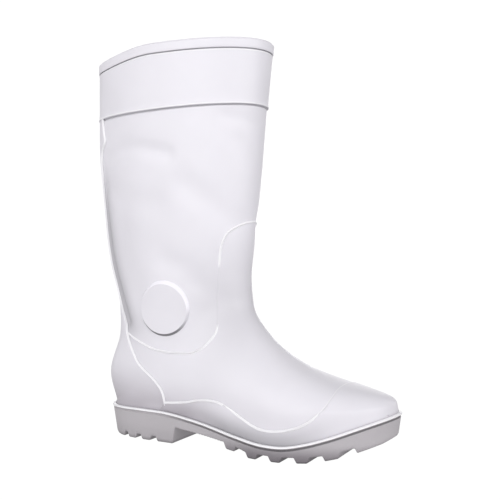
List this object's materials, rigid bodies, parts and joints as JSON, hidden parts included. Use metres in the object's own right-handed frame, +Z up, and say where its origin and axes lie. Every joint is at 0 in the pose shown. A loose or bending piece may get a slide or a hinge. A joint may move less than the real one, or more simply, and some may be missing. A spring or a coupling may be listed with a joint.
{
  "type": "safety wellington boot",
  "caption": "Knee-length moulded wellington for the right foot: hollow upper open at the collar, cleated sole with a heel, raised toe cap, heel counter, ankle pads and collar band.",
  "frame": {"origin": "middle of the boot's bounding box, on the plane that the sole stands on", "axes": "+X towards the toe, -Y towards the outer side of the foot, +Z up the shaft"},
  "size_m": [0.318, 0.1034, 0.3838],
  "materials": {
    "white_pvc": "satin white moulded PVC",
    "sole_pvc": "duller white moulded PVC",
    "insole_foam": "pale grey fabric over foam"
  },
  "bodies": {
    "root": {"upper": "white_pvc", "collar_band": "white_pvc", "collar_rim": "white_pvc", "heel_counter": "white_pvc", "toe_cap": "white_pvc", "ankle_disc_outer": "white_pvc", "ankle_disc_inner": "white_pvc", "outsole": "sole_pvc", "insole": "insole_foam"}
  },
  "joints": []
}
